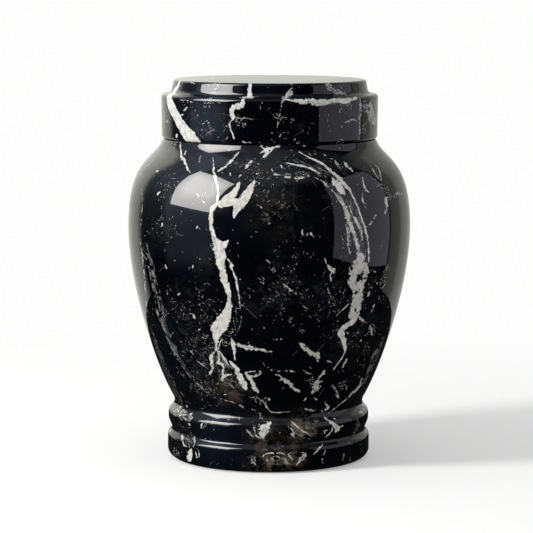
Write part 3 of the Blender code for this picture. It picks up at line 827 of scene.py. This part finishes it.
def scratches(tree, place, size_mm, length_mm, width_mm, share):
    """Short straight lines that lie in the surface, at most one in each cell of size_mm.

    share is how many of the cells have one.
    """
    cells = tree.node("ShaderNodeTexVoronoi", {"Vector": place, "Scale": 1 / (size_mm * MM)}).outputs
    centre = cells["Position"]
    normal = tree.node("ShaderNodeNewGeometry").outputs["Normal"]
    lean = tree.vector("SUBTRACT", cells["Color"], (0.5, 0.5, 0.5))
    side = tree.vector("NORMALIZE", tree.vector("CROSS_PRODUCT", normal, lean), (0, 0, 0))
    run = tree.vector("CROSS_PRODUCT", side, normal)
    offset = tree.vector("SUBTRACT", place, centre)
    across = tree.math("ABSOLUTE", tree.node("ShaderNodeVectorMath", {0: offset, 1: side},
                                             operation="DOT_PRODUCT").outputs["Value"])
    along = tree.math("ABSOLUTE", tree.node("ShaderNodeVectorMath", {0: offset, 1: run},
                                            operation="DOT_PRODUCT").outputs["Value"])
    chosen = tree.node("ShaderNodeTexWhiteNoise", {"Vector": centre}).outputs["Value"]
    line = tree.math("MULTIPLY", tree.rise(across, width_mm * MM, 0.3 * width_mm * MM),
                     tree.rise(along, length_mm * MM, 0.6 * length_mm * MM))
    return tree.math("MULTIPLY", line, tree.rise(tree.math("DIVIDE", chosen, share), 1.0, 0.3))


def marble(name, layers, offset):
    """Polished black marble: near-black stone with blue and brown clouds, flecks, hairlines and veins."""
    material = bpy.data.materials.new(name)
    material.use_nodes = True
    tree = Tree(material.node_tree)
    place = tree.node("ShaderNodeTexCoord").outputs["Object"]
    place = tree.vector("ADD", place, offset)
    push = tree.vector("SUBTRACT", tree.noise(place, 22.0, 3.0, output="Color"), (0.5, 0.5, 0.5))
    warped = tree.vector("ADD", place, tree.vector("SCALE", push, 14.0 * MM))
    clouds = tree.node("ShaderNodeAttribute", attribute_name="clouds")
    parts = tree.node("ShaderNodeSeparateColor", {"Color": clouds.outputs["Color"]}).outputs
    fleck_cloud, breccia_cloud, brown_cloud = parts["Red"], parts["Green"], parts["Blue"]
    haze_cloud = clouds.outputs["Alpha"]

    veins = stored_veins(tree, place, layers)
    patchy = tree.rise(tree.noise(place, 34.0, 2.0), 0.45, 0.75)
    density = tree.math("ADD", fleck_cloud, tree.math("MULTIPLY", patchy, 0.3), clamp=True)
    small = tree.math("MAXIMUM", flecks(tree, warped, 42.0, 3.0, 1.0, density),
                      flecks(tree, place, -30.0, 1.5, 1.5, tree.math("MULTIPLY", density, 0.8)))
    small = tree.math("MULTIPLY", small, tree.spread(tree.noise(place, 8.0), 0.36, 0.62, 0.04, 1.1))
    wavy = tree.vector("ADD", place, tree.vector("SCALE", push, 4.0 * MM))
    clumps = tree.rise(tree.noise(place, 14.0, 2.0), 0.34, 0.74)
    crowd = tree.math("MULTIPLY", density, clumps)
    specks = scratches(tree, wavy, 2.0, 0.40, 0.28, tree.math("MULTIPLY", crowd, 0.13))
    ticks = scratches(tree, wavy, 3.4, 1.3, 0.18, tree.math("MULTIPLY", crowd, 0.60))
    long = scratches(tree, wavy, 9.0, 4.0, 0.16, 0.14)
    threads = tree.math("MAXIMUM", specks, tree.math("MAXIMUM", tree.math("MULTIPLY", ticks, 0.46),
                                                     tree.math("MULTIPLY", long, 0.18)))
    shards = tree.rise(tree.noise(warped, 1.8, 4.0, 0.75), 0.54, 0.68)
    shards = tree.math("MULTIPLY", shards, tree.rise(tree.noise(place, 6.0, 2.0), 0.42, 0.62))
    breccia = tree.math("MULTIPLY", tree.math("MULTIPLY", shards, breccia_cloud), 0.8, clamp=True)
    white = tree.math("MAXIMUM", tree.math("MAXIMUM", veins, small), tree.math("MAXIMUM", threads, breccia),
                      clamp=True)

    slate = tree.rise(tree.noise(warped, 26.0, 4.0, 0.6), 0.45, 0.75)
    slate = tree.math("ADD", tree.math("MULTIPLY", slate, 0.14), haze_cloud, clamp=True)
    stone = tree.blend(slate, BLACK, SLATE)
    smoke = tree.rise(tree.noise(warped, 7.0, 5.0, 0.7), 0.46, 0.72)
    smoke = tree.math("MULTIPLY", smoke, tree.math("MULTIPLY", fleck_cloud, 0.6), clamp=True)
    stone = tree.blend(smoke, stone, SMOKE)
    brown = tree.math("MULTIPLY", tree.rise(tree.noise(warped, 9.0, 4.0, 0.65), 0.4, 0.65), brown_cloud, clamp=True)
    stone = tree.blend(brown, stone, BROWN)
    mottle = tree.noise(place, 3.0, 4.0, 0.7)
    chalk = tree.blend(tree.rise(tree.noise(place, 32.0, 1.0), 0.46, 0.62), CHALK, CREAM)
    chalk = tree.blend(tree.rise(mottle, 0.36, 0.60), CHALK_DARK, chalk)
    colour = tree.blend(white, stone, chalk)

    rough = tree.spread(white, 0.0, 1.0, 0.035, 0.10)
    shader = tree.node("ShaderNodeBsdfPrincipled", {"Base Color": colour, "Roughness": rough, "IOR": 1.5})
    tree.node("ShaderNodeOutputMaterial", {"Surface": shader.outputs["BSDF"]})
    return material


# Studio

def direction(azimuth, elevation=0.0):
    """A unit vector: azimuth 0 is towards the camera, 90 to its right."""
    azimuth, elevation = math.radians(azimuth), math.radians(elevation)
    return Vector((math.sin(azimuth) * math.cos(elevation), -math.cos(azimuth) * math.cos(elevation),
                   math.sin(elevation)))


def patch(tree, azimuth, elevation, level, left, right, bottom, top):
    """Light between two azimuths and two elevations, each edge given as where it starts and is full."""
    wide = tree.math("MULTIPLY", tree.rise(azimuth, *left), tree.rise(azimuth, right[1], right[0]))
    tall = tree.math("MULTIPLY", tree.rise(elevation, *bottom), tree.rise(elevation, top[1], top[0]))
    return tree.math("MULTIPLY", tree.math("MULTIPLY", wide, tall), level)


def mirrored(tree, ray, walls):
    """The studio as the stone reflects it, along a ray: dark, with soft patches of light.

    The patches are a ceiling, a glow round the softbox and, where walls is true, the white
    backdrop that stands behind the urn.
    """
    parts = tree.node("ShaderNodeSeparateXYZ", {"Vector": tree.vector("NORMALIZE", ray, (0, 0, 0))}).outputs
    azimuth = tree.math("ARCTAN2", parts["X"], tree.math("MULTIPLY", parts["Y"], -1.0))
    azimuth = tree.math("MULTIPLY", azimuth, 180 / math.pi)
    elevation = tree.math("MULTIPLY", tree.math("ARCSINE", parts["Z"]), 180 / math.pi)
    upward = tree.spread(elevation, 0.0, 28.0, 0.92, 1.65)
    under = tree.spread(elevation, -8.0, 8.0, 0.22, 0.50)
    cool = [
        (0.55, (-134, -112), (-96, -84), (4, 34), (80, 95)),
        (0.14, (-130, -116), (-92, -84), (-14, 10), (10, 30)),
        (under, (-98, -88), (-50, -42), (-20, -10), (10, 22)),
        (0.34, (-104, -90), (-42, -28), (4, 14), (50, 64)),
        (0.35, (-170, -110), (25, 75), (42, 56), (95, 96)),
        (0.24, (-52, -30), (-10, 34), (12, 34), (46, 60)),
        (0.12, (30, 60), (170, 190), (42, 56), (95, 96)),
        (0.008, *EVERYWHERE, (-95, -94), (95, 96)),
    ]
    warm = [
        (upward, (-178, -166), (-130, -118), (-95, -94), (36, 46)),
        (0.55, (125, 131), (166, 178), (-95, -94), (38, 52)),
        (0.33, (108.5, 112), (125, 131), (-95, -94), (40, 56)),
        (0.745, (-400, -399), (-178, -166), (-95, -94), (16, 24)),
        (0.745, (166, 178), (399, 400), (-95, -94), (16, 24)),
    ]
    colour = (0.0, 0.0, 0.0)
    for tint, patches in ((COOL, cool), (WARM, warm if walls else [])):
        total = 0.0
        for rule in patches:
            total = tree.math("ADD", patch(tree, azimuth, elevation, *rule), total)
        if patches:
            colour = tree.vector("ADD", tree.vector("SCALE", tint, total), colour)
    return colour


def add_world():
    """Pale to the camera, an even dim fill on matt surfaces, and a dark studio in reflections."""
    world = bpy.data.worlds.new("studio")
    world.use_nodes = True
    world.cycles.sampling_method = "NONE"
    bpy.context.scene.world = world
    tree = Tree(world.node_tree)
    ray = tree.node("ShaderNodeTexCoord").outputs["Generated"]
    paths = tree.node("ShaderNodeLightPath").outputs
    studio = tree.node("ShaderNodeBackground", {"Color": mirrored(tree, ray, False), "Strength": 1.0})
    fill = tree.node("ShaderNodeBackground", {"Color": (1.0, 1.0, 1.0, 1.0), "Strength": FILL})
    pale = tree.node("ShaderNodeBackground", {"Color": PALE, "Strength": 1.0})
    unseen = tree.node("ShaderNodeMixShader", {0: paths["Is Glossy Ray"], 1: fill.outputs[0], 2: studio.outputs[0]})
    both = tree.node("ShaderNodeMixShader", {0: paths["Is Camera Ray"], 1: unseen.outputs[0], 2: pale.outputs[0]})
    tree.node("ShaderNodeOutputWorld", {"Surface": both.outputs[0]})


def add_panel(name, corners, paint):
    """A standing sheet that shows in reflections alone, mapped across and up it."""
    columns = len(corners) // 2
    faces = [(index, index + 1, columns + index + 1, columns + index) for index in range(columns - 1)]
    spots = [((corner % columns) / (columns - 1), corner // columns) for face in faces for corner in face]
    add_mirrored_sheet(name, corners, faces, paint).data.uv_layers.new(name="sheet").data.foreach_set(
        "uv", np.array(spots, float).ravel())


def add_mirrored_sheet(name, corners, faces, paint):
    """A mesh that shows in reflections alone. paint(tree) gives its colour and strength."""
    mesh = bpy.data.meshes.new(name)
    mesh.from_pydata(corners, [], faces)
    sheet = bpy.data.objects.new(name, mesh)
    bpy.context.collection.objects.link(sheet)
    material = bpy.data.materials.new(name)
    material.use_nodes = True
    tree = Tree(material.node_tree)
    colour, strength = paint(tree)
    glow = tree.node("ShaderNodeEmission", {"Color": colour, "Strength": strength})
    tree.node("ShaderNodeOutputMaterial", {"Surface": glow.outputs[0]})
    mesh.materials.append(material)
    sheet.visible_camera = sheet.visible_diffuse = sheet.visible_shadow = False
    return sheet


def paint_softbox(tree):
    """Brightest in the middle, dimmer towards its edges."""
    spot = tree.node("ShaderNodeUVMap", uv_map="sheet").outputs["UV"]
    parts = tree.node("ShaderNodeSeparateXYZ", {"Vector": spot}).outputs
    shares = [tree.rise(tree.math("ABSOLUTE", tree.math("SUBTRACT", parts[axis], 0.5)), 0.5, inner)
              for axis, inner in (("X", 0.25), ("Y", 0.15))]
    level = tree.spread(tree.math("MULTIPLY", *shares), 0.0, 1.0, SOFTBOX_RIM_GLOW, SOFTBOX_GLOW)
    return SOFTBOX_COLOUR, level


def paint_backdrop(tree):
    place = tree.node("ShaderNodeTexCoord").outputs["Object"]
    return mirrored(tree, tree.vector("SUBTRACT", place, (0.0, 0.0, BACKDROP_EYE)), True), 1.0


def upright(points, bottom, top):
    """Corners of a standing sheet through (azimuth, distance) points, the lower row first."""
    return [direction(azimuth) * distance + Vector((0, 0, height))
            for height in (bottom, top) for azimuth, distance in points]


def add_lights():
    """The softbox, a card and a backdrop for reflections, and a lamp for the light that the softbox gives."""
    corners = []
    for azimuth, height in SOFTBOX_CORNERS:
        reach = SOFTBOX_DISTANCE / math.cos(math.radians(azimuth - SOFTBOX_AZIMUTH))
        corners.append(direction(azimuth) * reach + Vector((0, 0, height)))
    add_panel("softbox", corners, paint_softbox)
    add_panel("card", upright(CARD_EDGES, CARD_BOTTOM, CARD_TOP), lambda tree: ((*CARD_COLOUR, 1.0), CARD_GLOW))
    turns = [BACKDROP_START + BACKDROP_TURN * step / BACKDROP_PIECES for step in range(BACKDROP_PIECES + 1)]
    add_panel("backdrop", upright([(turn, BACKDROP_DISTANCE) for turn in turns], BACKDROP_BOTTOM, BACKDROP_TOP),
              paint_backdrop)
    rim = [direction(360 * side / TABLE_SIDES) * TABLE_RADIUS for side in range(TABLE_SIDES)]
    table = add_mirrored_sheet("table", rim, [tuple(range(TABLE_SIDES))], lambda tree: ((*WARM, 1.0), TABLE_GLOW))
    table.location.z = -0.1 * MM
    data = bpy.data.lights.new("key", "AREA")
    data.shape = "SQUARE"
    data.size = KEY_SIZE
    data.energy = KEY_WATTS
    key = bpy.data.objects.new("key", data)
    outward = direction(KEY_AZIMUTH, KEY_ELEVATION)
    key.location = outward * KEY_DISTANCE
    key.rotation_euler = outward.to_track_quat("Z", "Y").to_euler()
    key.visible_camera = key.visible_glossy = False
    bpy.context.collection.objects.link(key)


def add_floor():
    """A pale floor that fades into the pale surroundings, out of the stone's reflections."""
    mesh = bpy.data.meshes.new("floor")
    mesh.from_pydata([(-FLOOR, -FLOOR, 0), (FLOOR, -FLOOR, 0), (FLOOR, FLOOR, 0), (-FLOOR, FLOOR, 0)], [], [(0, 1, 2, 3)])
    floor = bpy.data.objects.new("floor", mesh)
    floor.location.z = -0.1 * MM
    bpy.context.collection.objects.link(floor)
    material = bpy.data.materials.new("floor")
    material.use_nodes = True
    tree = Tree(material.node_tree)
    place = tree.node("ShaderNodeTexCoord").outputs["Object"]
    away = tree.node("ShaderNodeVectorMath", {0: place}, operation="LENGTH").outputs["Value"]
    matt = tree.node("ShaderNodeBsdfDiffuse", {"Color": FLOOR_COLOUR})
    glow = tree.node("ShaderNodeEmission", {"Color": PALE, "Strength": FLOOR_GLOW})
    lit = tree.node("ShaderNodeAddShader", {0: matt.outputs[0], 1: glow.outputs[0]})
    edge = tree.node("ShaderNodeEmission", {"Color": PALE, "Strength": 1.0})
    faded = tree.node("ShaderNodeMixShader", {0: tree.rise(away, 0.20, 0.62), 1: lit.outputs[0], 2: edge.outputs[0]})
    paths = tree.node("ShaderNodeLightPath").outputs
    seen = tree.node("ShaderNodeMixShader", {0: paths["Is Camera Ray"], 1: matt.outputs[0], 2: faded.outputs[0]})
    tree.node("ShaderNodeOutputMaterial", {"Surface": seen.outputs[0]})
    mesh.materials.append(material)
    floor.visible_glossy = False


# The urn

def add_piece(node, slot, middle_px, shown, veins, strokes, tops, clouds, wandering, seed):
    """Spins one piece, gives it its veins and stands it in for its solid."""
    chance = random.Random(seed)
    piece = spin(node + "_stone", smooth_outline(ease_bevels(outline(node)), shown))
    surface = Surface(piece, middle_px)
    surface.low, surface.high = wandering[0]
    add_photo_veins(surface, veins, strokes)
    add_top_veins(surface, tops)
    for rule in wandering[1:]:
        add_wandering(surface, chance, *rule)
    add_clouds(surface, chance, clouds, CLOUD_COUNT)
    layers = surface.store()
    piece.data.materials.append(marble(slot, layers, (0.31 * seed, 0.17 * seed, 0.0)))
    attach(piece, "root")
    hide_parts(node)
    print(node, "columns", COLUMNS, "faces", len(piece.data.polygons), "layers", layers)
    return piece


bpy.context.scene.view_settings.view_transform = "Standard"
add_camera()
add_piece("urn_body", "body_marble", BODY_MIDDLE_PX, BODY_SHOWN, BODY_VEINS, BODY_STROKES, [], BODY_CLOUDS,
          [(4.0, 212.0), (9, (90, 190), (4, 12), (0.85, 1.0)), (26, (30, 90), (1.5, 3.5), (0.5, 0.9)),
           (60, (5, 18), (1.0, 2.4), (0.6, 1.0))], 1)
add_piece("lid", "lid_marble", LID_MIDDLE_PX, LID_SHOWN, LID_VEINS, LID_STROKES, TOP_VEINS, LID_CLOUDS,
          [(217.0, 243.0), (6, (30, 60), (3, 7), (0.8, 1.0)), (10, (14, 40), (1, 2.4), (0.5, 0.9)),
           (16, (4, 10), (1.0, 2.0), (0.6, 1.0))], 2)
add_world()
add_lights()
add_floor()

bpy.context.view_layer.update()
